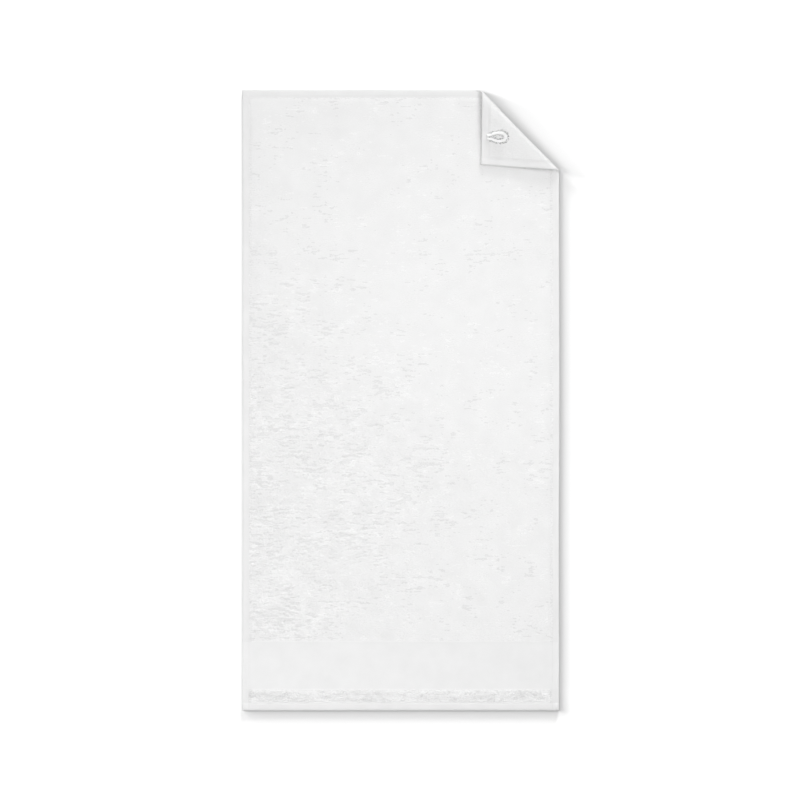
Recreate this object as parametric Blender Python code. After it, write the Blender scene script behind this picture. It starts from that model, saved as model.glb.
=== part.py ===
"""Hand towel in white terry cloth, lying flat with one corner turned over onto its face, and the
braided hanging loop sewn under its top hem. Metres, +Z up; the origin is under the middle of the towel,
on the surface that it lies on. +Y runs along the towel towards its top end, and +X is its right side."""

import math

import bmesh
import bpy
from mathutils import Vector
from mathutils.geometry import interpolate_bezier

# Driving dimensions of the cloth, in metres
TOWEL_WIDTH = 0.500
TOWEL_LENGTH = 0.980
TERRY_THICKNESS = 0.0040
EDGE_ROUNDING = 0.0009

# Across the towel: how wide each zone is from a side edge inwards, and where its two faces lie
SIDE_ZONES = (
    # name,    width,  underside, face
    ("hem",    0.0085, 0.0000, 0.0034),
    ("groove", 0.0022, 0.0005, 0.0024),
)

# Along the towel, from the bottom edge upwards: the length of each zone, and its two faces
END_ZONES = (
    # name,         length, underside, face
    ("bottom hem",    0.0115, 0.0000, 0.0034),
    ("bottom groove", 0.0015, 0.0005, 0.0026),
    ("terry strip",   0.0210, 0.0000, 0.0038),
    ("plain band",    0.0745, 0.0004, 0.0024),
    ("main terry",    0.8608, 0.0000, TERRY_THICKNESS),
    ("top groove",    0.0017, 0.0005, 0.0024),
    ("top hem",       0.0090, 0.0000, 0.0034),
)
STEP_WIDTH = 0.0012
ROW_SPACING = 0.062
COLUMN_SPACING = 0.055

# The long edges bow in and out a little: how far each stands proud, in metres, at a share of the length
EDGE_BOW = (
    # share, left,   right
    (0.00,  0.0006, 0.0000),
    (0.03,  0.0006, -0.0002),
    (0.12,  0.0000, 0.0001),
    (0.30,  -0.0004, -0.0002),
    (0.45,  -0.0003, 0.0006),
    (0.60,  -0.0001, 0.0006),
    (0.80,  -0.0003, -0.0001),
    (0.95,  0.0004, 0.0000),
    (1.00,  0.0007, 0.0000),
)

# The turned corner. The cloth lifts off along a straight line between one place on the top edge and one on
# the side edge, and rolls over in half a turn. The roll narrows evenly from the top edge to the side edge.
LIFT_ON_TOP_EDGE = 0.1158
LIFT_ON_SIDE_EDGE = 0.3564
ROLL_AT_TOP_EDGE = 0.0060
ROLL_AT_SIDE_EDGE = 0.0032
ROLL_STEPS = 12
CREASE_BOW = -0.0010
# Past the roll it dips and comes to lie with its middle this far above the middle of the cloth below
LYING_HEIGHT = 0.0044
# The hems' seams draw the turned corner in by this factor across the crease
DRAWN_IN = 0.937
LANDING = (
    # name,      length, share of the dip turned here, steps
    ("shoulder", 0.0120, 1.0, 2),
    ("slope",    0.0200, 0.0, 3),
    ("foot",     0.0300, -1.0, 4),
    ("tip",      0.0300, 0.0, 1),
)

# The hanging loop: a braided cord, pressed flat, doubled into a drop shape. It lies on the back of the
# cloth beside the top hem, and its round end stands a little off the cloth.
LOOP_FROM_CORNER = 0.0455
LOOP_LENGTH = 0.0330
LOOP_LEG_SPACING = 0.0056
LOOP_EYE_WIDTH = 0.0125
LOOP_WIDEST_AT = 0.62
LOOP_LEAN = math.radians(-4.5)
LOOP_RISE = 0.0016
LOOP_STEPS = 11
CORD_WIDTH = 0.0048
CORD_END_WIDTH = 0.0060
CORD_THICKNESS = 0.0026
CORD_SIDES = 10
PIECE_GAP = 0.00034

HALF_WIDTH = TOWEL_WIDTH / 2
HALF_LENGTH = TOWEL_LENGTH / 2
MID_HEIGHT = TERRY_THICKNESS / 2
CORNER = Vector((HALF_WIDTH, HALF_LENGTH, 0.0))
LIFT_TOP = Vector((LIFT_ON_TOP_EDGE, HALF_LENGTH, 0.0))
LIFT_SIDE = Vector((HALF_WIDTH, LIFT_ON_SIDE_EDGE, 0.0))
# Unit vectors in the plane: along the lift line towards the top edge, and across it towards the corner
ALONG = (LIFT_TOP - LIFT_SIDE).normalized()
ACROSS = Vector((ALONG.y, -ALONG.x, 0.0))
LIFT_LENGTH = (LIFT_TOP - LIFT_SIDE).length
# The roll is part of a cone. Its point lies beyond the side edge, and it takes up this angle of the cloth.
TAPER = (ROLL_AT_TOP_EDGE - ROLL_AT_SIDE_EDGE) / LIFT_LENGTH
POINT_TO_SIDE_EDGE = ROLL_AT_SIDE_EDGE / TAPER
CONE_POINT = LIFT_SIDE - ALONG * POINT_TO_SIDE_EDGE
ROLL_ANGLE = math.pi * TAPER
# Over its length, each part of the landing slopes by this share of the dip on the average
LANDING_LENGTHS = [length for _name, length, _share, _steps in LANDING]
SLOPE_SHARES = (0.5, 1.0, 0.5, 0.0)


def remove_all_objects():
    for item in list(bpy.data.objects):
        bpy.data.objects.remove(item, do_unlink=True)


def principled(name, colour, roughness):
    """A cloth material: colour is linear red, green and blue."""
    material = bpy.data.materials.new(name)
    material.use_nodes = True
    shader = material.node_tree.nodes["Principled BSDF"]
    shader.inputs["Base Color"].default_value = (*colour, 1.0)
    shader.inputs["Roughness"].default_value = roughness
    shader.inputs["Metallic"].default_value = 0.0
    return material


def between(rows, share, column):
    """The value in a table's column at a share of its length, on straight lines between the rows."""
    for low, high in zip(rows, rows[1:]):
        if share <= high[0]:
            part = (share - low[0]) / (high[0] - low[0])
            return low[column] + (high[column] - low[column]) * max(part, 0.0)
    return rows[-1][column]


def landing_point(distance, roll_radius):
    """Where the cloth's middle is that far past the roll, and how it is turned: (across, height, angle)."""
    drop = 2 * roll_radius - LYING_HEIGHT
    dip = drop / sum(length * share for length, share in zip(LANDING_LENGTHS, SLOPE_SHARES))
    across, height, angle = 0.0, 2 * roll_radius, math.pi
    for _name, length, turn_share, _steps in LANDING:
        run = min(distance, length)
        bend = dip * turn_share * run / length
        if abs(bend) < 1e-9:
            across += run * math.cos(angle)
            height += run * math.sin(angle)
        else:
            radius = run / bend
            across += radius * (math.sin(angle + bend) - math.sin(angle))
            height -= radius * (math.cos(angle + bend) - math.cos(angle))
        angle += bend
        distance -= run
        if distance <= 0.0:
            break
    return across, height, angle


def turn_over(point):
    """Moves a point of the flat cloth to where it lies with the corner turned over."""
    offset = point - CONE_POINT
    reach = math.hypot(offset.x, offset.y)
    swing = math.atan2(offset.dot(ACROSS), offset.dot(ALONG))
    if swing <= 0.0:
        return point.copy()
    if swing < ROLL_ANGLE:
        along = reach
        angle = math.pi * swing / ROLL_ANGLE
        across, height = TAPER * along * math.sin(angle), TAPER * along * (1 - math.cos(angle))
    else:
        along = reach * math.cos(swing - ROLL_ANGLE)
        past = reach * math.sin(swing - ROLL_ANGLE) * DRAWN_IN
        across, height, angle = landing_point(past, TAPER * along)
    above = point.z - MID_HEIGHT
    # Between its ends the crease is drawn in a little
    share = min(max((along - POINT_TO_SIDE_EDGE) / LIFT_LENGTH, 0.0), 1.0)
    bow = CREASE_BOW * math.sin(math.pi * share) * min(angle, 1.0)
    place = CONE_POINT + ALONG * along + ACROSS * (across - above * math.sin(angle) + bow)
    place.z = MID_HEIGHT + height + above * math.cos(angle)
    return place


def crease_cuts():
    """The lines along which the flat cloth gets edges so that it can bend: (place on it, across it)."""
    cuts = []
    for step in range(ROLL_STEPS + 1):
        swing = ROLL_ANGLE * step / ROLL_STEPS
        cuts.append((CONE_POINT, ACROSS * math.cos(swing) - ALONG * math.sin(swing)))
    across = cuts[-1][1]
    start = 0.0
    for _name, length, _share, steps in LANDING:
        for step in range(1, steps + 1):
            past = (start + length * step / steps) / DRAWN_IN
            cuts.append((CONE_POINT + across * past, across))
        start += length
    return [(place, across) for place, across in cuts if (CORNER - place).dot(across) > 0.002]


def spaced(start, end, spacing):
    """Even steps of about that spacing from start to end, without the end."""
    count = max(1, round((end - start) / spacing))
    return [start + (end - start) * step / count for step in range(count)]


def zone_lines(zones, span, spacing, mirrored):
    """The places where the cloth has an edge along one axis, from 0 to span, and the zone heights there:
    rows of (place, underside, face)."""
    runs = [(size, low, high) for _name, size, low, high in zones]
    if mirrored:
        used = sum(run[0] for run in runs)
        middle = (span - 2 * used, 0.0, TERRY_THICKNESS)
        runs = runs + [middle] + runs[::-1]
    lines = []
    start = 0.0
    for size, low, high in runs:
        first = start if start == 0.0 else start + STEP_WIDTH / 2
        last = start + size - STEP_WIDTH / 2
        if start + size > span - 1e-6:
            last = span
        lines += [(place, low, high) for place in spaced(first, last, spacing)]
        lines.append((last, low, high))
        start += size
    return lines


def heights(lines, place):
    """The underside and the face of the cloth at one of its lines."""
    return min(lines, key=lambda line: abs(line[0] - place))[1:]


def cloth_grid():
    """The flat cloth, as a sheet of rows and columns of faces with an underside, a face and edges."""
    columns = zone_lines(SIDE_ZONES, TOWEL_WIDTH, COLUMN_SPACING, True)
    rows = zone_lines(END_ZONES, TOWEL_LENGTH, ROW_SPACING, False)
    mesh = bmesh.new()
    bmesh.ops.create_grid(mesh, x_segments=len(columns) - 1, y_segments=len(rows) - 1, size=0.5)
    # The grid's own even places stand for the numbers of its columns and rows
    for vert in mesh.verts:
        column = round((vert.co.x + 0.5) * (len(columns) - 1))
        row = round((vert.co.y + 0.5) * (len(rows) - 1))
        vert.co = Vector((columns[column][0], rows[row][0], 0.0))
    extruded = bmesh.ops.extrude_face_region(mesh, geom=list(mesh.faces))
    raised = {item for item in extruded["geom"] if isinstance(item, bmesh.types.BMVert)}
    for vert in mesh.verts:
        across = heights(columns, vert.co.x)
        along = heights(rows, vert.co.y)
        vert.co.z = min(across[1], along[1]) if vert in raised else max(across[0], along[0])
    bmesh.ops.recalc_face_normals(mesh, faces=list(mesh.faces))
    round_edges(mesh)
    for vert in mesh.verts:
        side = 2 * vert.co.x / TOWEL_WIDTH - 1
        bow = between(EDGE_BOW, vert.co.y / TOWEL_LENGTH, 1 if side < 0 else 2)
        vert.co.x += bow * side * abs(side) - HALF_WIDTH
        vert.co.y -= HALF_LENGTH
    return mesh


def round_edges(mesh):
    """Rounds the cut sheet's outer edges, along the face and the underside."""
    outer = []
    for edge in mesh.edges:
        places = [vert.co for vert in edge.verts]
        level = abs(places[0].z - places[1].z) < TERRY_THICKNESS / 4
        on_side = all(min(place.x, TOWEL_WIDTH - place.x) < 1e-6 for place in places)
        on_end = all(min(place.y, TOWEL_LENGTH - place.y) < 1e-6 for place in places)
        if level and (on_side or on_end):
            outer.append(edge)
    bmesh.ops.bevel(
        mesh,
        geom=outer,
        offset=EDGE_ROUNDING,
        offset_type="OFFSET",
        affect="EDGES",
        segments=2,
        profile=0.5,
        material=-1,
    )


def cut_for_crease(mesh):
    """Gives the corner edges parallel to the crease."""
    for place, across in crease_cuts():
        bmesh.ops.bisect_plane(
            mesh,
            geom=list(mesh.verts) + list(mesh.edges) + list(mesh.faces),
            dist=1e-6,
            plane_co=place,
            plane_no=across,
        )


def finish_object(mesh, name, material):
    """Turns the corner over and makes the mesh an object with outward faces."""
    bmesh.ops.triangulate(mesh, faces=list(mesh.faces), quad_method="SHORT_EDGE", ngon_method="BEAUTY")
    for vert in mesh.verts:
        vert.co = turn_over(vert.co)
    bmesh.ops.recalc_face_normals(mesh, faces=list(mesh.faces))
    if mesh.calc_volume(signed=True) < 0.0:
        bmesh.ops.reverse_faces(mesh, faces=list(mesh.faces))
    data = bpy.data.meshes.new(name)
    mesh.to_mesh(data)
    mesh.free()
    item = bpy.data.objects.new(name, data)
    bpy.context.scene.collection.objects.link(item)
    data.materials.append(material)
    data.shade_smooth()
    data.set_sharp_from_angle(angle=math.radians(50.0))
    return item


def make_towel():
    mesh = cloth_grid()
    cut_for_crease(mesh)
    return finish_object(mesh, "towel", principled("white terry", (0.84, 0.84, 0.84), 0.95))


def loop_centreline():
    """Points along the middle of the doubled cord, from one leg round the eye to the other: x is how far
    out of the hem, y how far to the side, and z how far off the cloth."""
    leg = Vector((0.0, LOOP_LEG_SPACING / 2, 0.0))
    widest = Vector((LOOP_LENGTH * LOOP_WIDEST_AT, LOOP_EYE_WIDTH / 2, 0.0))
    end = Vector((LOOP_LENGTH - CORD_END_WIDTH / 2, 0.0, 0.0))
    along = Vector((LOOP_LENGTH * 0.28, 0.0, 0.0))
    aside = Vector((0.0, LOOP_EYE_WIDTH * 0.3, 0.0))
    opening = interpolate_bezier(leg, leg + along, widest - along, widest, LOOP_STEPS)
    closing = interpolate_bezier(widest, widest + along * 0.6, end + aside, end, LOOP_STEPS)
    half = opening + closing[1:]
    for point in half:
        point.z = PIECE_GAP + CORD_THICKNESS / 2 + LOOP_RISE * (point.x / LOOP_LENGTH) ** 2
    other = [Vector((point.x, -point.y, point.z)) for point in half[:-1]]
    return half + other[::-1]


def make_hanger_loop():
    """The cord is a ring of its section for each point of its centreline, joined ring to ring."""
    hem = END_ZONES[-1][1]
    root = Vector((HALF_WIDTH - LOOP_FROM_CORNER, HALF_LENGTH - hem - PIECE_GAP, 0.0))
    outwards = Vector((math.sin(LOOP_LEAN), -math.cos(LOOP_LEAN), 0.0))
    sideways = Vector((-outwards.y, outwards.x, 0.0))
    off_cloth = Vector((0.0, 0.0, -1.0))
    line = [
        root + outwards * point.x + sideways * point.y + off_cloth * point.z for point in loop_centreline()
    ]
    mesh = bmesh.new()
    rings = []
    for number, place in enumerate(line):
        before = line[max(number - 1, 0)]
        after = line[min(number + 1, len(line) - 1)]
        across = (after - before).cross(off_cloth).normalized()
        share = 1 - abs(2 * number / (len(line) - 1) - 1)
        width = CORD_WIDTH + (CORD_END_WIDTH - CORD_WIDTH) * share**2
        ring = bmesh.ops.create_circle(mesh, cap_ends=False, radius=0.5, segments=CORD_SIDES)["verts"]
        for vert in ring:
            vert.co = place + across * vert.co.x * width + off_cloth * vert.co.y * CORD_THICKNESS
        rings.append(ring)
    for ring, after in zip(rings, rings[1:]):
        pair = set(ring) | set(after)
        bmesh.ops.bridge_loops(mesh, edges=[edge for edge in mesh.edges if set(edge.verts) <= pair])
    for ring in (rings[0], rings[-1]):
        mesh.faces.new(ring)
    return finish_object(mesh, "hanger_loop", principled("white cord", (0.86, 0.86, 0.86), 0.85))


remove_all_objects()
make_towel()
make_hanger_loop()
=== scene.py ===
import math

import bmesh
import bpy
import numpy as np
from mathutils import Matrix, Vector
from mathutils.geometry import interpolate_bezier


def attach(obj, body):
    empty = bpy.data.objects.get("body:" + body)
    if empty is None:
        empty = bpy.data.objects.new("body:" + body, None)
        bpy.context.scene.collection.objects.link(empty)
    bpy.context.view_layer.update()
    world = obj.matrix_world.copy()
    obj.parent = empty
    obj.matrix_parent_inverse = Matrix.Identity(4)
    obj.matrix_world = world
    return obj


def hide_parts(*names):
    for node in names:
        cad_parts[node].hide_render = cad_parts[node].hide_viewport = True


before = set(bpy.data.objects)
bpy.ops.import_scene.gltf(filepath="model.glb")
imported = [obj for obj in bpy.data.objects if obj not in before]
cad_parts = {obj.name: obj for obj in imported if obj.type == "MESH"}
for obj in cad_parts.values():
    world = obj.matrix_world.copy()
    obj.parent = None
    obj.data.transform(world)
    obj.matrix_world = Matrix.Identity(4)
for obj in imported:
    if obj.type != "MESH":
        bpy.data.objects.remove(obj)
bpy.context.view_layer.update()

# ---------------------------------------------------------------------------------------------------
# Camera, floor and studio light
# The towel lies on a white sweep and is seen from straight above. Low lamps that reach the sweep alone give
# the soft shadow along the towel's right and bottom edges, and others light the cloth from all round.

MM = 0.001
PHOTO_SIDE = 800
TOWEL_MIDDLE_IN_PHOTO = (400.8, 400.3)
PIXEL = 1.58 * MM
CAMERA_HEIGHT = 5.0
SENSOR = 36.0
view_width = PHOTO_SIDE * PIXEL
camera_data = bpy.data.cameras.new("photo_camera")
camera_data.sensor_width = SENSOR
camera_data.lens = SENSOR * CAMERA_HEIGHT / view_width
camera_data.clip_end = 100.0
camera = bpy.data.objects.new("photo_camera", camera_data)
camera.location = (
    (PHOTO_SIDE / 2 - TOWEL_MIDDLE_IN_PHOTO[0]) * PIXEL,
    (TOWEL_MIDDLE_IN_PHOTO[1] - PHOTO_SIDE / 2) * PIXEL,
    CAMERA_HEIGHT,
)
bpy.context.scene.collection.objects.link(camera)
bpy.context.scene.camera = camera
bpy.context.scene.view_settings.view_transform = "Standard"

SWEEP_HALF_SIDE = 8.0
SWEEP_TONE = 0.70
floor_mesh = bmesh.new()
bmesh.ops.create_grid(floor_mesh, x_segments=1, y_segments=1, size=SWEEP_HALF_SIDE)
floor_data = bpy.data.meshes.new("floor")
floor_mesh.to_mesh(floor_data)
floor_mesh.free()
floor = bpy.data.objects.new("floor", floor_data)
bpy.context.scene.collection.objects.link(floor)
floor_paint = bpy.data.materials.new("white sweep")
floor_paint.use_nodes = True
floor_shader = floor_paint.node_tree.nodes["Principled BSDF"]
floor_shader.inputs["Base Color"].default_value = (SWEEP_TONE, SWEEP_TONE, SWEEP_TONE, 1.0)
floor_shader.inputs["Roughness"].default_value = 0.9
floor_shader.inputs["Specular IOR Level"].default_value = 0.1
floor_data.materials.append(floor_paint)
# The sweep throws little light back up at the towel's sides
floor.visible_diffuse = False

AIR_STRENGTH = 0.33
world = bpy.data.worlds.new("studio air")
world.use_nodes = True
world.node_tree.nodes["Background"].inputs["Color"].default_value = (1.0, 1.0, 1.0, 1.0)
world.node_tree.nodes["Background"].inputs["Strength"].default_value = AIR_STRENGTH
bpy.context.scene.world = world


def stand(lamp, bearing, rise, reach):
    """Stands a lamp at a bearing and a height in degrees about the towel's middle, facing it."""
    bearing, rise = math.radians(bearing), math.radians(rise)
    level = math.cos(rise)
    lamp.location = Vector((level * math.cos(bearing), level * math.sin(bearing), math.sin(rise))) * reach
    lamp.rotation_mode = "QUATERNION"
    lamp.rotation_quaternion = (-lamp.location).to_track_quat("-Z", "Y")
    bpy.context.scene.collection.objects.link(lamp)


sweep_only = bpy.data.collections.new("sweep only")
sweep_only.objects.link(floor)
towel_only = bpy.data.collections.new("all but the sweep")
towel_only.objects.link(floor)
towel_only.collection_objects[0].light_linking.link_state = "EXCLUDE"

FAR_LAMP_REACH = 6.0
FAR_LAMPS = (
    # name,           lights,     bearing, rise, breadth in degrees, power
    ("low front",     sweep_only, 137.0,   7.0,  12.0,  4.6),
    ("low left",      sweep_only, 165.0,   7.0,  12.0,  5.8),
    ("low top",       sweep_only, 80.0,    7.0,  12.0,  7.9),
    ("left window",   sweep_only, 165.0,   21.0, 14.0,  2.4),
    ("lower window",  sweep_only, 225.0,   48.0, 44.0,  1.15),
    ("top window",    towel_only, 80.0,    14.0, 12.0,  2.1),
)
for name, lights, bearing, rise, breadth, power in FAR_LAMPS:
    lamp_data = bpy.data.lights.new(name, "SUN")
    lamp_data.angle = math.radians(breadth)
    lamp_data.energy = power
    lamp = bpy.data.objects.new(name, lamp_data)
    stand(lamp, bearing, rise, FAR_LAMP_REACH)
    lamp.light_linking.receiver_collection = lights

SOFT_BOXES = (
    # name,          bearing, rise, reach, side, power
    ("right box",    45.0,    45.0, 2.6,   1.2,  19.0),
    ("left box",     -135.0,  35.0, 2.6,   1.2,  21.8),
    ("overhead box", 60.0,    87.0, 1.7,   0.8,  13.0),
)
for name, bearing, rise, reach, side, power in SOFT_BOXES:
    box_data = bpy.data.lights.new(name, "AREA")
    box_data.shape = "SQUARE"
    box_data.size = side
    box_data.energy = power
    box = bpy.data.objects.new(name, box_data)
    stand(box, bearing, rise, reach)
    box.light_linking.receiver_collection = towel_only

# ---------------------------------------------------------------------------------------------------
# The cloth
# One length of white cotton cloth, woven with loops, turned under along all four edges and sewn down. A
# plain woven band runs across it near the bottom end, with a narrow strip of terry below. Its top right
# corner lies turned over onto the face.

WIDTH, LENGTH = 500.0 * MM, 980.0 * MM
CLOTH_MIDDLE = 2.0 * MM

# From a side edge inwards, in millimetres: underside and face of the ground cloth
SIDE_PROFILE = (
    # in,   underside, face
    (0.0,   1.10, 2.30),
    (0.3,   0.60, 2.85),
    (0.9,   0.25, 3.16),
    (4.5,   0.10, 3.30),
    (7.6,   0.14, 3.26),
    (9.0,   0.26, 3.12),
    (9.9,   0.42, 2.94),
    (10.6,  0.48, 2.88),
    (11.4,  0.42, 2.92),
    (12.4,  0.34, 2.98),
    (14.5,  0.30, 3.04),
    (20.0,  0.30, 3.08),
)
# From the bottom edge upwards
END_PROFILE = (
    # up,   underside, face
    (0.0,   1.10, 2.30),
    (0.3,   0.60, 2.85),
    (0.9,   0.25, 3.16),
    (5.0,   0.10, 3.30),
    (8.8,   0.14, 3.24),
    (10.4,  0.30, 3.06),
    (11.4,  0.50, 2.74),
    (12.2,  0.50, 2.70),
    (13.4,  0.36, 2.80),
    (28.0,  0.36, 2.79),
    (34.4,  0.50, 2.71),
    (52.0,  0.64, 2.54),
    (64.0,  0.66, 2.52),
    (84.0,  0.62, 2.60),
    (100.0, 0.55, 2.72),
    (108.0, 0.45, 2.81),
    (118.0, 0.30, 2.96),
    (130.0, 0.30, 3.00),
    (965.0, 0.30, 3.04),
    (967.0, 0.36, 2.98),
    (968.4, 0.44, 2.90),
    (969.4, 0.48, 2.86),
    (970.4, 0.42, 2.94),
    (971.6, 0.24, 3.14),
    (973.4, 0.12, 3.26),
    (976.0, 0.10, 3.30),
    (979.1, 0.25, 3.16),
    (979.7, 0.60, 2.85),
    (980.0, 1.10, 2.30),
)
BAND_FROM, BAND_TO = 34.0 * MM, 108.5 * MM

# The long edges bow in and out a little
EDGE_BOW = (
    # share, left, right, in millimetres
    (0.00,  0.6, 0.0),
    (0.03,  0.6, -0.2),
    (0.12,  0.0, 0.1),
    (0.30,  -0.4, -0.2),
    (0.45,  -0.3, 0.6),
    (0.60,  -0.1, 0.6),
    (0.80,  -0.3, -0.1),
    (0.95,  0.4, 0.0),
    (1.00,  0.7, 0.0),
)

# The turned corner: where the cloth lifts off on the top edge and on the right edge, and the radius of the
# roll there. Past the roll the cloth dips and comes to lie on the face, in parts of length and share of dip.
LIFT_ON_TOP_EDGE, LIFT_ON_SIDE_EDGE = 115.8 * MM, 356.4 * MM
ROLL_AT_TOP_EDGE, ROLL_AT_SIDE_EDGE = 6.0 * MM, 3.2 * MM
CREASE_BOW = -1.0 * MM
LYING_HEIGHT = 4.4 * MM
LANDING = (
    # length,   share of the dip turned here
    (12.0 * MM, 1.0),
    (20.0 * MM, 0.0),
    (30.0 * MM, -1.0),
    (40.0 * MM, 0.0),
)
LANDING_STEPS = 12
# The hems' seams draw the turned corner in by this factor across the crease
DRAWN_IN = 0.937
lift_top = np.array([LIFT_ON_TOP_EDGE, LENGTH / 2])
lift_side = np.array([WIDTH / 2, LIFT_ON_SIDE_EDGE])
lift_length = np.linalg.norm(lift_top - lift_side)
along_lift = (lift_top - lift_side) / lift_length
across_lift = np.array([along_lift[1], -along_lift[0]])
# The roll is part of a cone, whose point lies beyond the right edge and which takes up this angle of cloth
taper = (ROLL_AT_TOP_EDGE - ROLL_AT_SIDE_EDGE) / lift_length
cone_point = lift_side - along_lift * ROLL_AT_SIDE_EDGE / taper
roll_angle = math.pi * taper


def about_cone(flat):
    """Each flat point's distance from the cone's point, and its angle past the line where the cloth lifts."""
    offset = flat[:, :2] - cone_point
    return np.hypot(offset[:, 0], offset[:, 1]), np.arctan2(offset @ across_lift, offset @ along_lift)


def landed(past, roll):
    """Across, height and angle of the cloth's middle at each distance past the roll of that radius."""
    across, height, angle = np.zeros_like(past), 2 * roll, np.full_like(past, math.pi)
    slope, total = 0.0, 0.0
    for length, share in LANDING:
        total += length * (slope + share / 2)
        slope += share
    dip = (2 * roll - LYING_HEIGHT) / total
    left = past.copy()
    for length, share in LANDING:
        run = np.clip(left, 0.0, length)
        # Each part is followed in short straight steps
        for step in range(LANDING_STEPS):
            middle = angle + dip * share * run / length / (2 * LANDING_STEPS)
            across += np.cos(middle) * run / LANDING_STEPS
            height += np.sin(middle) * run / LANDING_STEPS
            angle += dip * share * run / length / LANDING_STEPS
        left -= length
    return across, height, angle


def turned_over(flat):
    """Moves points of the flat cloth to where they lie with the corner turned over."""
    reach, swing = about_cone(flat)
    past = np.maximum(swing - roll_angle, 0.0)
    along = reach * np.cos(past)
    roll = along * taper
    turn = np.clip(swing / roll_angle, 0.0, 1.0) * math.pi
    across, height, angle = landed(reach * np.sin(past) * DRAWN_IN, roll)
    across += np.where(past > 0.0, 0.0, roll * np.sin(turn))
    height = np.where(past > 0.0, height, roll * (1 - np.cos(turn)))
    angle = np.where(past > 0.0, angle, turn)
    above = flat[:, 2] - CLOTH_MIDDLE
    share = np.clip((along - ROLL_AT_SIDE_EDGE / taper) / lift_length, 0.0, 1.0)
    bow = CREASE_BOW * np.sin(math.pi * share) * np.minimum(angle, 1.0)
    placed = np.empty_like(flat)
    placed[:, :2] = cone_point + np.outer(along, along_lift)
    placed[:, :2] += np.outer(across - above * np.sin(angle) + bow, across_lift)
    placed[:, 2] = CLOTH_MIDDLE + height + above * np.cos(angle)
    return np.where((swing > 0.0)[:, None], placed, flat)


PATCH_CELLS = 512


def patches(x, y, size, seed):
    """Smooth random values from -1 to 1 over the flat cloth, in patches of about that size."""
    values = np.random.default_rng(seed).uniform(-1.0, 1.0, (PATCH_CELLS, PATCH_CELLS))
    # The cells start well to the left and below, so that none is counted backwards
    column, row = x / size + 200.0, y / size + 200.0
    low_column, low_row = np.floor(column).astype(int), np.floor(row).astype(int)
    right, up = column - low_column, row - low_row
    right, up = right * right * (3 - 2 * right), up * up * (3 - 2 * up)

    def at(columns, rows):
        return values[rows % PATCH_CELLS, columns % PATCH_CELLS]

    low = at(low_column, low_row) * (1 - right) + at(low_column + 1, low_row) * right
    high = at(low_column, low_row + 1) * (1 - right) + at(low_column + 1, low_row + 1) * right
    return low * (1 - up) + high * up


def pile_roughness(x, y):
    """How rough the loops of the face lie, roughest in the lower left of the towel."""
    above = y / LENGTH - 0.37
    return np.clip(1.27 - 0.9 * x / WIDTH - np.where(above > 0.0, 1.8, -1.2) * above, 0.25, 1.2)


def read_row(table, places, column):
    """A table's column at places along it, in metres, on straight lines between its rows."""
    stops = np.array([row[0] for row in table]) * MM
    return np.interp(places, stops, np.array([row[column] for row in table]) * MM)


LINE_SPACING = 5.4 * MM


def cloth_lines(profile, span, mirrored):
    """Where the cloth has edges across one of its ways: at each row of its profile and evenly between."""
    stops = [row[0] * MM for row in profile]
    if mirrored:
        stops = stops + [span - stop for stop in reversed(stops)]
    lines = []
    for low, high in zip(stops, stops[1:]):
        steps = max(1, round((high - low) / LINE_SPACING))
        lines += list(np.linspace(low, high, steps, endpoint=False))
    return np.array(lines + [stops[-1]])


BAND_HEM_RISE, BAND_HEM_WIDTH = 0.30 * MM, 9.0 * MM


def ground_levels(x, y):
    """Underside and face of the ground cloth at places measured from its bottom left corner."""
    side = np.minimum(x, WIDTH - x)
    across = read_row(SIDE_PROFILE, side, 1), read_row(SIDE_PROFILE, side, 2)
    along = read_row(END_PROFILE, y, 1), read_row(END_PROFILE, y, 2)
    # In the plain band the side hems stand only a little above it, and they have no groove
    in_band = np.clip(np.minimum(y - BAND_FROM, BAND_TO - y) / (4 * MM), 0.0, 1.0)
    hem_face = along[1] + BAND_HEM_RISE * np.clip((BAND_HEM_WIDTH - side) / (2 * MM), 0.0, 1.0)
    face = np.minimum(across[1], along[1]) * (1 - in_band) + np.minimum(across[1], hem_face) * in_band
    return np.maximum(across[0], along[0]), face


columns = cloth_lines(SIDE_PROFILE, WIDTH, True)
rows = cloth_lines(END_PROFILE, LENGTH, False)
cloth = bmesh.new()
bmesh.ops.create_grid(cloth, x_segments=len(columns) - 1, y_segments=len(rows) - 1, size=0.5)
for vert in cloth.verts:
    vert.co.x = columns[round((vert.co.x + 0.5) * (len(columns) - 1))]
    vert.co.y = rows[round((vert.co.y + 0.5) * (len(rows) - 1))]
extruded = bmesh.ops.extrude_face_region(cloth, geom=list(cloth.faces))["geom"]
for item in extruded:
    if isinstance(item, bmesh.types.BMVert):
        item.co.z = 1.0
bmesh.ops.recalc_face_normals(cloth, faces=list(cloth.faces))
# The corner gets edges along which it can bend: a fan of them in the roll, and parallel ones beyond it
ROLL_CUTS, LANDING_CUT_SPACING = 14, 2.4 * MM
fold_cuts = []
for number in range(ROLL_CUTS + 1):
    swing = roll_angle * number / ROLL_CUTS
    fold_cuts.append((cone_point, across_lift * math.cos(swing) - along_lift * math.sin(swing)))
landing_across = fold_cuts[-1][1]
reach_of_corner = (np.array([WIDTH / 2, LENGTH / 2]) - cone_point) @ landing_across
for number in range(1, int(reach_of_corner / LANDING_CUT_SPACING)):
    fold_cuts.append((cone_point + landing_across * number * LANDING_CUT_SPACING, landing_across))
for cut, normal in fold_cuts:
    bmesh.ops.bisect_plane(
        cloth,
        geom=list(cloth.verts) + list(cloth.edges) + list(cloth.faces),
        dist=1e-7,
        plane_co=(cut[0] + WIDTH / 2, cut[1] + LENGTH / 2, 0.0),
        plane_no=(normal[0], normal[1], 0.0),
    )
bmesh.ops.triangulate(
    cloth,
    faces=[face for face in cloth.faces if len(face.verts) > 4],
    quad_method="BEAUTY",
    ngon_method="BEAUTY",
)
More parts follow.
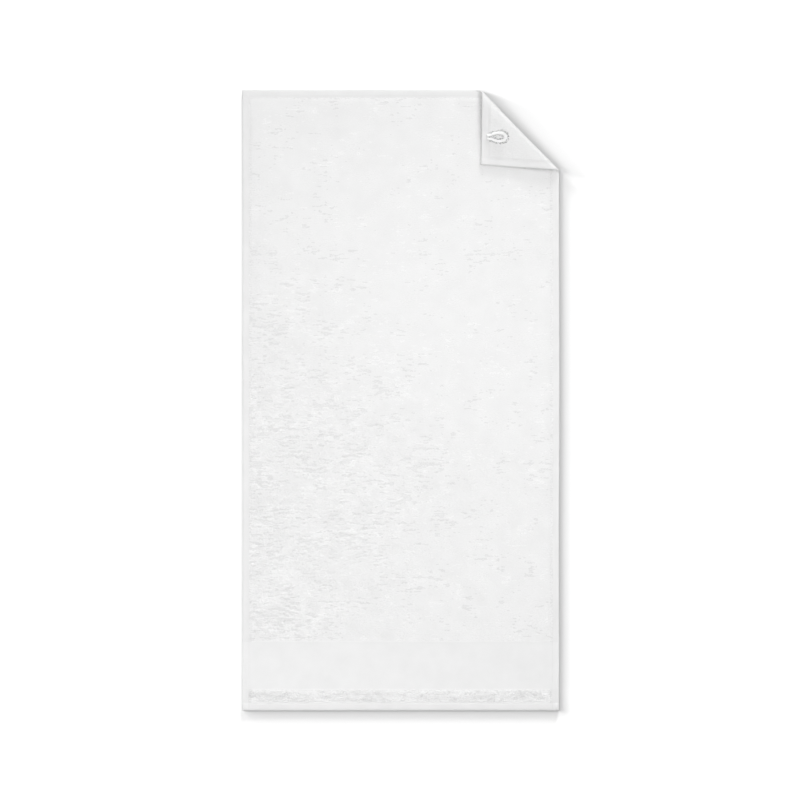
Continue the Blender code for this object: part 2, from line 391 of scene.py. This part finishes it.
# The plain band is the cloth's second cotton, and the hems are its third
HEM_COTTON_IN, BOTTOM_HEM_COTTON_IN = 15.0 * MM, 11.0 * MM
for face in cloth.faces:
    middle = face.calc_center_median()
    from_edge = min(middle.x, WIDTH - middle.x, LENGTH - middle.y)
    if BAND_FROM < middle.y < BAND_TO:
        face.material_index = 1
    elif from_edge < HEM_COTTON_IN or middle.y < BOTTOM_HEM_COTTON_IN:
        face.material_index = 2
cloth_data = bpy.data.meshes.new("towel_cloth")
cloth.to_mesh(cloth_data)
cloth.free()


def get_points(data):
    """A mesh's points as an array."""
    found = np.empty(len(data.vertices) * 3)
    data.vertices.foreach_get("co", found)
    return found.reshape(-1, 3)


def edge_bow(x, y):
    """How far the long edges' unevenness moves places measured from the bottom left corner."""
    side = 2 * x / WIDTH - 1
    stops = [row[0] for row in EDGE_BOW]
    left = np.interp(y / LENGTH, stops, [row[1] * MM for row in EDGE_BOW])
    right = np.interp(y / LENGTH, stops, [row[2] * MM for row in EDGE_BOW])
    return np.where(side < 0, left, right) * side * np.abs(side)


def from_centre(x, y, z):
    """Flat points about the towel's middle from places measured from its bottom left corner."""
    return np.stack([x + edge_bow(x, y) - WIDTH / 2, y - LENGTH / 2, z], 1)


def swell(x, y, most):
    """How far the terry lies above its profile: nearly "most" where its loops are smooth, and less where
    they are rough."""
    return most - 0.40 * MM * pile_roughness(x, y) + 0.05 * MM * patches(x, y, 31 * MM, 4)


TERRY_SWELL = 0.46 * MM
TERRY_IN, TERRY_SLOPE, TERRY_SLOPE_AT_BAND = 11.0 * MM, 8.0 * MM, 12.0 * MM
HEM_WIDTH, HEM_SLOPE = 10.5 * MM, 3.0 * MM
HEM_PUCKER, HEM_SAG = 0.05 * MM, 0.75 * MM
points = get_points(cloth_data)
x, y, is_face = points[:, 0], points[:, 1], points[:, 2] > 0.5
underside, face = ground_levels(x, y)
terry = np.clip((np.minimum.reduce([x, WIDTH - x, LENGTH - y]) - TERRY_IN) / TERRY_SLOPE, 0.0, 1.0)
terry *= np.clip((y - BAND_TO) / TERRY_SLOPE_AT_BAND, 0.0, 1.0)
face = face + terry * swell(x, y, TERRY_SWELL)
hem = np.clip((HEM_WIDTH - np.minimum.reduce([x, WIDTH - x, y, LENGTH - y])) / HEM_SLOPE, 0.0, 1.0)
# In the turned corner the hems sag onto the pile below them
sagging = np.clip((about_cone(from_centre(x, y, face))[1] / roll_angle - 1.0) / 0.3, 0.0, 1.0)
face = face + (HEM_PUCKER * patches(x, y, 7 * MM, 5) + HEM_SAG * sagging) * hem
flat_cloth = from_centre(x, y, np.where(is_face, face, underside))
cloth_data.vertices.foreach_set("co", turned_over(flat_cloth).ravel())


def give_flat_map(data, flat, low, high):
    """Lays the piece's map out as the flat cloth, from corner low to corner high."""
    layer = data.uv_layers.new(name="OFBake")
    vertex = np.empty(len(data.loops), np.int32)
    data.loops.foreach_get("vertex_index", vertex)
    places = (flat[vertex, :2] - low) / (np.array(high) - low)
    layer.uv.foreach_set("vector", np.clip(places, 0.001, 0.999).astype(np.float32).ravel())


def cotton(name, tone, seed, relief="fibre"):
    """White cotton: matt and fuzzy, with a tone that drifts a little. Its relief is loose "fibre" alone,
    or also the "loops" of terry or the crossed threads of a "weave", both laid out on the flat cloth."""
    material = bpy.data.materials.new(name)
    material.use_nodes = True
    nodes, links = material.node_tree.nodes, material.node_tree.links
    shader = nodes["Principled BSDF"]
    shader.inputs["Roughness"].default_value = 0.95
    shader.inputs["Specular IOR Level"].default_value = 0.15
    shader.inputs["Sheen Weight"].default_value = 0.25
    shader.inputs["Sheen Roughness"].default_value = 0.6
    place = nodes.new("ShaderNodeTexCoord")
    shift = nodes.new("ShaderNodeMapping")
    shift.inputs["Location"].default_value = (seed, seed * 0.37, 0.0)
    links.new(place.outputs["Object"], shift.inputs["Vector"])
    drift = nodes.new("ShaderNodeTexNoise")
    drift.inputs["Scale"].default_value = 34.0
    drift.inputs["Detail"].default_value = 5.0
    links.new(shift.outputs["Vector"], drift.inputs["Vector"])
    ramp = nodes.new("ShaderNodeValToRGB")
    ramp.color_ramp.elements[0].position = 0.30
    ramp.color_ramp.elements[0].color = (tone * 0.955, tone * 0.955, tone * 0.955, 1.0)
    ramp.color_ramp.elements[1].position = 0.70
    ramp.color_ramp.elements[1].color = (tone, tone, tone, 1.0)
    links.new(drift.outputs["Fac"], ramp.inputs["Fac"])
    links.new(ramp.outputs["Color"], shader.inputs["Base Color"])
    fibre = nodes.new("ShaderNodeTexNoise")
    fibre.inputs["Scale"].default_value = 1800.0
    fibre.inputs["Detail"].default_value = 3.0
    links.new(shift.outputs["Vector"], fibre.inputs["Vector"])
    fuzz = nodes.new("ShaderNodeBump")
    fuzz.inputs["Strength"].default_value = 0.3
    fuzz.inputs["Distance"].default_value = 0.00025
    links.new(fibre.outputs["Fac"], fuzz.inputs["Height"])
    links.new(fuzz.outputs["Normal"], shader.inputs["Normal"])
    if relief == "fibre":
        return material
    flat_place = nodes.new("ShaderNodeMapping")
    links.new(place.outputs["UV"], flat_place.inputs["Vector"])
    raised = nodes.new("ShaderNodeBump")
    links.new(raised.outputs["Normal"], fuzz.inputs["Normal"])
    if relief == "loops":
        # The map is the whole cloth, so this is a cell for each 2 mm across and 1.9 mm along
        flat_place.inputs["Scale"].default_value = (250.0, 516.0, 1.0)
        loops = nodes.new("ShaderNodeTexVoronoi")
        loops.inputs["Scale"].default_value = 1.0
        loops.inputs["Randomness"].default_value = 0.7
        links.new(flat_place.outputs["Vector"], loops.inputs["Vector"])
        links.new(loops.outputs["Distance"], raised.inputs["Height"])
        raised.invert = True
        raised.inputs["Distance"].default_value = 0.0008
        raised.inputs["Strength"].default_value = 0.35
        return material
    # Threads 1.2 mm apart cross over and under, one wave of each for each unit of the map
    thread_pitch, one_wave = 1.2 * MM, 0.1 * math.pi
    flat_place.inputs["Scale"].default_value = (WIDTH / thread_pitch, LENGTH / thread_pitch, 1.0)
    heights = []
    for way in ("X", "Y"):
        threads = nodes.new("ShaderNodeTexWave")
        threads.bands_direction = way
        threads.inputs["Scale"].default_value = one_wave
        threads.inputs["Distortion"].default_value = 0.4
        links.new(flat_place.outputs["Vector"], threads.inputs["Vector"])
        heights.append(threads)
    crossed = nodes.new("ShaderNodeMath")
    crossed.operation = "MAXIMUM"
    links.new(heights[0].outputs["Fac"], crossed.inputs[0])
    links.new(heights[1].outputs["Fac"], crossed.inputs[1])
    links.new(crossed.outputs["Value"], raised.inputs["Height"])
    raised.inputs["Distance"].default_value = 0.0001
    raised.inputs["Strength"].default_value = 0.6
    return material


cloth_data.shade_smooth()
give_flat_map(cloth_data, flat_cloth, (-WIDTH / 2, -LENGTH / 2), (WIDTH / 2, LENGTH / 2))
cloth_data.materials.append(cotton("terry ground", 0.76, 1.0, "loops"))
cloth_data.materials.append(cotton("plain woven band", 0.72, 1.0, "weave"))
cloth_data.materials.append(cotton("plain woven hems", 0.70, 2.0, "weave"))
towel_cloth = bpy.data.objects.new("towel_cloth", cloth_data)
bpy.context.scene.collection.objects.link(towel_cloth)
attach(towel_cloth, "root")
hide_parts("towel")

# ---------------------------------------------------------------------------------------------------
# The pile of the face
# Rows of small loops of soft white cotton yarn, woven in with the ground cloth and pressed over by use.
# Each loop is one bent grain of yarn with its feet in the cloth.


def yarn_grain(rings, arch):
    """A three-sided grain of unit length along X with pointed ends, bent up in its middle by arch."""
    grain = bmesh.new()
    bmesh.ops.create_uvsphere(grain, u_segments=3, v_segments=rings + 1, radius=0.5)
    bmesh.ops.rotate(grain, verts=grain.verts, matrix=Matrix.Rotation(math.radians(90.0), 3, "Y"))
    for vert in grain.verts:
        vert.co.z += arch * (1.0 - (2.0 * vert.co.x) ** 2)
    bmesh.ops.triangulate(grain, faces=list(grain.faces))
    return grain


def sow(name, grain, flat, turn, lean, size):
    """Joins copies of the grain into one mesh: at flat places, turned about the cloth's normal, leant
    sideways and sized (length, width, height), and then laid on the cloth's folds."""
    shape = np.array([vert.co for vert in grain.verts])
    triangles = np.array([[vert.index for vert in face.verts] for face in grain.faces])
    grain.free()
    if size[0, 2] < 0.0:
        # Grains that stand on the back are mirrored, so their faces are turned to point outwards again
        triangles = triangles[:, ::-1]
    grown = shape[None] * size[:, None, :]
    rolled = grown.copy()
    rolled[:, :, 1] = grown[:, :, 1] * np.cos(lean)[:, None] - grown[:, :, 2] * np.sin(lean)[:, None]
    rolled[:, :, 2] = grown[:, :, 1] * np.sin(lean)[:, None] + grown[:, :, 2] * np.cos(lean)[:, None]
    spun = rolled.copy()
    spun[:, :, 0] = rolled[:, :, 0] * np.cos(turn)[:, None] - rolled[:, :, 1] * np.sin(turn)[:, None]
    spun[:, :, 1] = rolled[:, :, 0] * np.sin(turn)[:, None] + rolled[:, :, 1] * np.cos(turn)[:, None]
    flat_points = (spun + flat[:, None, :]).reshape(-1, 3)
    faces = (triangles[None] + (np.arange(len(flat)) * len(shape))[:, None, None]).reshape(-1, 3)
    data = bpy.data.meshes.new(name)
    data.from_pydata(turned_over(flat_points), [], faces)
    give_flat_map(data, flat_points, flat_points[:, :2].min(0), flat_points[:, :2].max(0))
    piece = bpy.data.objects.new(name, data)
    bpy.context.scene.collection.objects.link(piece)
    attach(piece, "root")
    return piece


def give_kinds(piece, kinds):
    """Gives each loop of a pile the material of that number among the piece's materials."""
    faces_each = len(piece.data.polygons) // len(kinds)
    piece.data.polygons.foreach_set("material_index", np.repeat(kinds, faces_each).astype(np.int32))


PLACE_JITTER = 0.38


def woven_places(low, high, across, along, seed):
    """Uneven rows of places between two corners, measured from the cloth's bottom left corner."""
    draw = np.random.default_rng(seed)
    along_places = np.arange(low[1], high[1], along)
    across_places = np.arange(low[0], high[0], across)
    x, y = np.meshgrid(across_places, along_places)
    # Every second row is set over by half a step
    x = x + (np.arange(len(along_places)) % 2)[:, None] * across / 2
    x = (x + draw.uniform(-PLACE_JITTER, PLACE_JITTER, x.shape) * across).ravel()
    y = (y + draw.uniform(-PLACE_JITTER, PLACE_JITTER, y.shape) * along).ravel()
    inside = (x > low[0]) & (x < high[0]) & (y > low[1]) & (y < high[1])
    return x[inside], y[inside]


# Most loops lie level. Some are sunk in furrows and get a darker tone, a painted shade, and some get a
# lighter tone, a painted highlight.
pile_cottons = [
    cotton("terry pile", 0.78, 7.0),
    cotton("terry pile with painted furrow shade", 0.68, 7.0),
    cotton("terry pile with painted highlight", 0.82, 7.0),
]
# The field is sown in shares, from above the plain band to below the top hem
SHARES = 4
PILE_FROM_SIDE = 10.6 * MM
PILE_FROM_BAND = 1.2 * MM
PILE_FROM_TOP = 12.6 * MM
ROW_PITCH, LOOP_PITCH = 1.86 * MM, 2.02 * MM
GRAIN_LENGTH, GRAIN_LENGTH_SPREAD = 3.7 * MM, 0.7 * MM
GRAIN_WIDTH, GRAIN_WIDTH_SPREAD = 2.0 * MM, 0.2 * MM
LOWEST_GRAIN, HIGHEST_GRAIN = 0.06, 1.15
FURROW_DEPTH = 0.9
# The higher these limits are, the fewer loops lie in furrows with the painted shade or get the painted
# highlight
FURROW_AND_PAINTED_SHADE_LIMIT, PAINTED_HIGHLIGHT_LIMIT = 1.08, 1.05
# Both run about four times as far across the towel as along it
STRETCH = 0.24
PILE_SWELL = 0.50 * MM
HEM_SHADE = 5.0 * MM
# How far in from the outline the turned corner hides the face, and how far in it reaches
HIDDEN_IN, CORNER_REACH = 22.0 * MM, 150.0 * MM
terry_from, terry_to = BAND_TO + PILE_FROM_BAND, LENGTH - PILE_FROM_TOP
for number in range(SHARES):
    low_y = terry_from + (terry_to - terry_from) * number / SHARES
    high_y = terry_from + (terry_to - terry_from) * (number + 1) / SHARES
    x, y = woven_places(
        (PILE_FROM_SIDE, low_y), (WIDTH - PILE_FROM_SIDE, high_y), LOOP_PITCH, ROW_PITCH, 20 + number
    )
    flat = from_centre(x, y, ground_levels(x, y)[1])
    # No loops far below the turned corner, where the cloth hides them
    reach, swing = about_cone(flat)
    cover = roll_angle - swing
    cover_x = cone_point[0] + reach * (np.cos(cover) * along_lift[0] + np.sin(cover) * across_lift[0])
    cover_y = cone_point[1] + reach * (np.cos(cover) * along_lift[1] + np.sin(cover) * across_lift[1])
    hidden = (cover_x < WIDTH / 2 - HIDDEN_IN) & (cover_y < LENGTH / 2 - HIDDEN_IN) & (swing < 0.0)
    hidden &= (cover_x > WIDTH / 2 - CORNER_REACH) & (cover_y > LENGTH / 2 - CORNER_REACH)
    # Nor on the inner side of the roll, past its first third
    shown = ~hidden & (swing < 0.35 * roll_angle)
    x, y, flat = x[shown], y[shown], flat[shown]
    draw = np.random.default_rng(40 + number)
    count = len(x)
    rough = pile_roughness(x, y)
    turn = draw.normal(0.0, 0.30, count) + 0.20 * patches(x, y, 6 * MM, 11)
    lean = rough * (draw.normal(0.0, 0.14, count) + 0.15 * patches(x, y, 5 * MM, 13))
    length = GRAIN_LENGTH + GRAIN_LENGTH_SPREAD * draw.uniform(-1, 1, count)
    width = GRAIN_WIDTH + GRAIN_WIDTH_SPREAD * draw.uniform(-1, 1, count)
    ridges = patches(x * 0.42, y, 3.6 * MM, 14) + 0.6 * patches(x * 0.5, y, 7.0 * MM, 15)
    height = 0.38 + 0.40 * rough + 0.20 * rough * draw.uniform(-1, 1, count) + 0.42 * rough * ridges
    # Short furrows with a painted shade, and streaks of painted highlight, run across it here and there,
    # mostly where it is rough
    furrow_and_painted_shade = patches(x * STRETCH, y, 2.1 * MM, 21) + 0.6 * patches(x, y, 24 * MM, 22) + 0.65 * rough
    height -= FURROW_DEPTH * np.clip((furrow_and_painted_shade - FURROW_AND_PAINTED_SHADE_LIMIT) / 0.15, 0.0, 1.0)
    height = np.clip(height, LOWEST_GRAIN, HIGHEST_GRAIN) * MM
    painted_highlight = patches(x * STRETCH, y, 2.1 * MM, 23) + 0.6 * patches(x, y, 19 * MM, 24) + 0.55 * rough
    # Loops in furrows get the painted shade, and loops in the streaks get the painted highlight
    kinds = np.where(furrow_and_painted_shade > FURROW_AND_PAINTED_SHADE_LIMIT, 1, np.where(painted_highlight > PAINTED_HIGHLIGHT_LIMIT, 2, 0))
    # Beside the hems and the band the loops are shorter, and they lie lower
    inside = np.minimum.reduce([x - PILE_FROM_SIDE, WIDTH - PILE_FROM_SIDE - x, terry_to - y])
    grown = np.clip(np.minimum(inside / HEM_SHADE, (y - BAND_TO) / TERRY_SLOPE_AT_BAND), 0.0, 1.0)
    height *= 0.55 + 0.45 * grown
    flat[:, 2] += grown * swell(x, y, PILE_SWELL)
    size = np.stack([length, width, height], 1)
    piece = sow(f"face_pile_{number + 1}", yarn_grain(1, 0.55), flat, turn, lean, size)
    for pile_cotton in pile_cottons:
        piece.data.materials.append(pile_cotton)
    give_kinds(piece, kinds)

# ---------------------------------------------------------------------------------------------------
# The pile on the back of the turned corner
# The back of the cloth has the same cotton loops, and shows them where the corner lies turned over. The
# cord of the hanging loop presses them down around it, and those loops get a painted shade for its shadow.

BACK_FIELD = 190.0 * MM
BACK_PILE_FROM_TOP = 12.0 * MM
BACK_ROW_PITCH, BACK_LOOP_PITCH = 1.62 * MM, 1.75 * MM
BACK_GRAIN_LENGTH, BACK_GRAIN_LENGTH_SPREAD = 2.9 * MM, 0.6 * MM
BACK_GRAIN_WIDTH, BACK_GRAIN_WIDTH_SPREAD = 1.3 * MM, 0.2 * MM
BACK_GRAIN_HEIGHT, BACK_GRAIN_HEIGHT_SPREAD = 0.55 * MM, 0.15 * MM
BACK_GRAIN_SUNK = 0.15 * MM
BACK_PILE_FROM_LIFT = 0.08
PRESSED_HEIGHT = 0.5
# Beside the cord the loops are pressed and get a painted shade, in a band this wide, wider by this at the
# round end
PRESSED_AND_PAINTED_BESIDE_LEGS, PRESSED_AND_PAINTED_MORE_AT_END = 2.3 * MM, 1.4 * MM
UNDER_CORD = 0.4 * MM
x, y = woven_places(
    (WIDTH - BACK_FIELD, LENGTH - BACK_FIELD),
    (WIDTH - PILE_FROM_SIDE, LENGTH - BACK_PILE_FROM_TOP),
    BACK_LOOP_PITCH,
    BACK_ROW_PITCH,
    31,
)
flat = from_centre(x, y, ground_levels(x, y)[0])
flat = flat[about_cone(flat)[1] > BACK_PILE_FROM_LIFT * roll_angle]

# The middle of the cord runs in a drop shape from its first leg round to its second
LOOP_FROM_CORNER = 45.5 * MM
LOOP_LENGTH = 33.0 * MM
LOOP_LEG_SPACING = 5.4 * MM
LOOP_EYE_WIDTH = 13.6 * MM
LOOP_WIDEST_AT = 0.62
LOOP_LEAN = math.radians(-4.5)
LOOP_RISE = 1.6 * MM
CORD_WIDTH, CORD_THICKNESS = 4.0 * MM, 3.2 * MM
CORD_END_WIDTH = 5.6 * MM
PIECE_GAP = 0.34 * MM
TOP_HEM = 9.0 * MM
CURVE_POINTS = 60
CORD_RINGS = 220
leg = Vector((0.0, LOOP_LEG_SPACING / 2, 0.0))
widest = Vector((LOOP_LENGTH * LOOP_WIDEST_AT, LOOP_EYE_WIDTH / 2, 0.0))
end = Vector((LOOP_LENGTH - CORD_END_WIDTH / 2, 0.0, 0.0))
along = Vector((LOOP_LENGTH * 0.28, 0.0, 0.0))
aside = Vector((0.0, LOOP_EYE_WIDTH * 0.3, 0.0))
half = interpolate_bezier(leg, leg + along, widest - along, widest, CURVE_POINTS)
half += interpolate_bezier(widest, widest + along * 0.6, end + aside, end, CURVE_POINTS)[1:]
route = np.array([point[:] for point in half])
route = np.vstack([route, (route * [1, -1, 1])[-2::-1]])
route[:, 2] = PIECE_GAP + CORD_THICKNESS / 2 + LOOP_RISE * (route[:, 0] / LOOP_LENGTH) ** 2
steps = np.linalg.norm(np.diff(route, axis=0), axis=1)
travelled = np.concatenate([[0.0], np.cumsum(steps)])
even = np.linspace(0.0, travelled[-1], CORD_RINGS)
route = np.stack([np.interp(even, travelled, route[:, axis]) for axis in range(3)], 1)
# The cord spreads towards the loop's round end
roundness = (1 - np.abs(2 * even / even[-1] - 1)) ** 2
cord_width = CORD_WIDTH + (CORD_END_WIDTH - CORD_WIDTH) * roundness
root = np.array([WIDTH / 2 - LOOP_FROM_CORNER, LENGTH / 2 - TOP_HEM - PIECE_GAP])
outwards = np.array([math.sin(LOOP_LEAN), -math.cos(LOOP_LEAN)])
aside_way = np.array([-outwards[1], outwards[0]])
cord_line = root + np.outer(route[:, 0], outwards) + np.outer(route[:, 1], aside_way)
beside_cord = np.full(len(flat), 1.0)
for point, width in zip(cord_line, cord_width):
    beside_cord = np.minimum(beside_cord, np.hypot(*(flat[:, :2] - point).T) - width / 2)
# No loops stand below the cord, and the ones beside it are pressed and get a painted shade, in a band
# wider at its round end
clear = beside_cord > -UNDER_CORD
flat, beside_cord = flat[clear], beside_cord[clear]
towards_end = np.clip((flat[:, :2] - root) @ outwards / LOOP_LENGTH, 0.0, 1.0)
pressed_and_painted = beside_cord < PRESSED_AND_PAINTED_BESIDE_LEGS + PRESSED_AND_PAINTED_MORE_AT_END * towards_end**2
draw = np.random.default_rng(51)
count = len(flat)
size = np.stack(
    [
        BACK_GRAIN_LENGTH + BACK_GRAIN_LENGTH_SPREAD * draw.uniform(-1, 1, count),
        BACK_GRAIN_WIDTH + BACK_GRAIN_WIDTH_SPREAD * draw.uniform(-1, 1, count),
        -BACK_GRAIN_HEIGHT - BACK_GRAIN_HEIGHT_SPREAD * draw.uniform(-1, 1, count),
    ],
    1,
)
size[pressed_and_painted, 2] *= PRESSED_HEIGHT
turn = math.pi / 2 + draw.normal(0.0, 0.35, count)
flat[:, 2] += BACK_GRAIN_SUNK
back_pile = sow("corner_back_pile", yarn_grain(2, 0.5), flat, turn, draw.normal(0.0, 0.25, count), size)
back_pile.data.materials.append(cotton("terry of the back", 0.715, 9.0))
# The pressed loops get a painted shade: a dark tone that stands in for the cord's shadow
back_pile.data.materials.append(cotton("terry with painted shade of the cord", 0.14, 9.0))
give_kinds(back_pile, pressed_and_painted)

# ---------------------------------------------------------------------------------------------------
# The narrow strip of terry
# Between the plain band and the bottom hem the same cotton yarn is woven into loops again. They stand more
# open than those of the main field, and are more tousled.

STRIP_FROM = 14.0 * MM
STRIP_ROW_PITCH, STRIP_LOOP_PITCH = 1.9 * MM, 2.3 * MM
STRIP_GRAIN_LENGTH, STRIP_GRAIN_LENGTH_SPREAD = 3.3 * MM, 0.9 * MM
STRIP_GRAIN_WIDTH, STRIP_GRAIN_WIDTH_SPREAD = 1.15 * MM, 0.25 * MM
STRIP_GRAIN_HEIGHT, STRIP_GRAIN_HEIGHT_SPREAD = 1.2 * MM, 0.2 * MM
STRIP_TOUSLE = 0.45 * MM
STRIP_GRAIN_SUNK = 0.2 * MM
STRIP_LOWERS_OVER = 3.0 * MM
# Over this reach from the left end more of the strip's loops get the painted shade
LEFT_PAINTED_SHADE_REACH = 90.0 * MM
x, y = woven_places(
    (PILE_FROM_SIDE, STRIP_FROM),
    (WIDTH - PILE_FROM_SIDE, BAND_FROM),
    STRIP_LOOP_PITCH,
    STRIP_ROW_PITCH,
    33,
)
flat = from_centre(x, y, ground_levels(x, y)[1])
draw = np.random.default_rng(53)
count = len(x)
size = np.stack(
    [
        STRIP_GRAIN_LENGTH + STRIP_GRAIN_LENGTH_SPREAD * draw.uniform(-1, 1, count),
        STRIP_GRAIN_WIDTH + STRIP_GRAIN_WIDTH_SPREAD * draw.uniform(-1, 1, count),
        STRIP_GRAIN_HEIGHT + STRIP_GRAIN_HEIGHT_SPREAD * draw.uniform(-1, 1, count),
    ],
    1,
)
size[:, 2] += STRIP_TOUSLE * patches(x * 0.6, y, 4.5 * MM, 17)
# The loops get lower towards the band
size[:, 2] *= np.clip((BAND_FROM - y) / STRIP_LOWERS_OVER, 0.25, 1.0)
turn = 0.5 * patches(x, y, 6 * MM, 16) + draw.normal(0.0, 0.3, count)
flat[:, 2] -= STRIP_GRAIN_SUNK
strip_pile = sow("strip_pile", yarn_grain(2, 0.55), flat, turn, draw.normal(0.0, 0.35, count), size)
for pile_cotton in pile_cottons:
    strip_pile.data.materials.append(pile_cotton)
# Loops get the painted shade in blotches, with more of them at the left end, and all along the top row,
# and the painted highlight in other blotches
strip_painted_light = patches(x * 0.5, y, 3.2 * MM, 18) + 0.45 * np.clip(1.0 - x / LEFT_PAINTED_SHADE_REACH, 0.0, 1.0)
strip_painted_light += np.where(y > BAND_FROM - STRIP_LOWERS_OVER, 1.5, 0.0)
give_kinds(strip_pile, np.where(strip_painted_light > 0.35, 1, np.where(strip_painted_light < -0.5, 2, 0)))

# ---------------------------------------------------------------------------------------------------
# The hem seams
# White cotton sewing thread holds the turned edges down, in one row of lock stitches along each of the
# four sides. It shows on the face and on the back alike.

STITCH_PITCH = 3.1 * MM
STITCH_LENGTH, STITCH_LENGTH_SPREAD = 2.75 * MM, 0.1 * MM
STITCH_WIDTH, STITCH_WIDTH_SPREAD = 0.50 * MM, 0.05 * MM
STITCH_HEIGHT = 0.42 * MM
STITCH_OFF_CLOTH = 0.02 * MM
SEAM_IN = 10.6 * MM
SEAM_UP, SEAM_DOWN = 11.8 * MM, 10.6 * MM
SEAM_END_IN = 3.0 * MM


def seam(start, end):
    """Places of the stitches from start to end, each from the cloth's bottom left corner, and their turn."""
    start, end = np.array(start), np.array(end)
    run = np.linalg.norm(end - start)
    share = (np.arange(int(run / STITCH_PITCH)) + 0.5) * STITCH_PITCH / run
    return start + np.outer(share, end - start), np.full(len(share), math.atan2(*(end - start)[::-1]))


left, right, bottom, top = SEAM_IN, WIDTH - SEAM_IN, SEAM_UP, LENGTH - SEAM_DOWN
seams = [
    seam((left, SEAM_END_IN), (left, LENGTH - SEAM_END_IN)),
    seam((right, SEAM_END_IN), (right, LENGTH - SEAM_END_IN)),
    seam((left, bottom), (right, bottom)),
    seam((left, top), (right, top)),
]
places = np.vstack([places for places, turn in seams])
turn = np.concatenate([turn for places, turn in seams])
draw = np.random.default_rng(61)
stitch_cotton = cotton("sewing thread", 0.74, 5.0)
for name, level, side in (("face_stitches", 1, 1.0), ("back_stitches", 0, -1.0)):
    x, y = places[:, 0], places[:, 1]
    flat = from_centre(x, y, ground_levels(x, y)[level] + side * STITCH_OFF_CLOTH)
    count = len(flat)
    size = np.stack(
        [
            STITCH_LENGTH + STITCH_LENGTH_SPREAD * draw.uniform(-1, 1, count),
            STITCH_WIDTH + STITCH_WIDTH_SPREAD * draw.uniform(-1, 1, count),
            np.full(count, side * STITCH_HEIGHT),
        ],
        1,
    )
    lie = turn + draw.normal(0.0, 0.05, count)
    piece = sow(name, yarn_grain(3, 0.35), flat, lie, np.zeros(count), size)
    piece.data.materials.append(stitch_cotton)

# ---------------------------------------------------------------------------------------------------
# The hanging loop
# One length of white cotton cord, braided of three strands and doubled into a drop shape. Its two ends are
# caught under the top hem, and its round end stands a little off the back of the turned corner.

STRANDS = 3
PLAIT_LENGTH = 9.0 * MM
STRAND_THICKNESS = 1.85 * MM
STRAND_SIDES = 8
# How far apart the strands stand before they are drawn along their lines
ROD_SPACING = 10.0


def directions(line):
    """Unit vectors along a line of points, level across it and upright to both."""
    ahead = np.gradient(line, axis=0)
    ahead /= np.linalg.norm(ahead, axis=1)[:, None]
    across = np.cross([0.0, 0.0, 1.0], ahead)
    across /= np.linalg.norm(across, axis=1)[:, None]
    return ahead, across, np.cross(ahead, across)


sideways = directions(route)[1]
lines = []
for strand in range(STRANDS):
    phase = 2 * math.pi * (even / PLAIT_LENGTH + strand / STRANDS)
    swing = (cord_width - STRAND_THICKNESS) / 2 * np.sin(phase)
    rise = (CORD_THICKNESS - STRAND_THICKNESS) / 2 * np.sin(2 * phase)
    line = route + sideways * swing[:, None] + np.array([0.0, 0.0, 1.0]) * rise[:, None]
    lines.append((line, *directions(line)))
# Three straight rods side by side, cut into rings, are drawn along the strands' lines
cord_rods = bmesh.new()
for strand in range(STRANDS):
    bmesh.ops.create_cone(
        cord_rods,
        cap_ends=True,
        segments=STRAND_SIDES,
        radius1=1.0,
        radius2=1.0,
        depth=1.0,
        matrix=Matrix.Translation((ROD_SPACING * strand, 0.0, 0.0)),
    )
lengthwise = [edge for edge in cord_rods.edges if abs(edge.verts[0].co.z - edge.verts[1].co.z) > 0.5]
bmesh.ops.subdivide_edges(cord_rods, edges=lengthwise, cuts=CORD_RINGS - 2)
for vert in cord_rods.verts:
    strand = round(vert.co.x / ROD_SPACING)
    line, ahead, across, upright = lines[strand]
    ring = round((vert.co.z + 0.5) * (CORD_RINGS - 1))
    outward = (vert.co.x - ROD_SPACING * strand) * across[ring] + vert.co.y * upright[ring]
    vert.co = Vector(line[ring] + STRAND_THICKNESS / 2 * outward)
bmesh.ops.triangulate(cord_rods, faces=[face for face in cord_rods.faces if len(face.verts) > 4])
cord_data = bpy.data.meshes.new("hanger_cord")
cord_rods.to_mesh(cord_data)
cord_rods.free()
# The cord is laid on the back of the flat cloth, which faces down, and turned over with the corner
local = get_points(cord_data)
flat = np.empty_like(local)
flat[:, :2] = root + np.outer(local[:, 0], outwards) + np.outer(local[:, 1], aside_way)
flat[:, 2] = -local[:, 2]
cord_data.vertices.foreach_set("co", turned_over(flat).ravel())
cord_shape = bmesh.new()
cord_shape.from_mesh(cord_data)
bmesh.ops.recalc_face_normals(cord_shape, faces=list(cord_shape.faces))
cord_shape.to_mesh(cord_data)
cord_shape.free()
cord_data.shade_smooth()
cord_data.materials.append(cotton("braided cord", 0.87, 3.0))
hanger_cord = bpy.data.objects.new("hanger_cord", cord_data)
bpy.context.scene.collection.objects.link(hanger_cord)
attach(hanger_cord, "root")
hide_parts("hanger_loop")
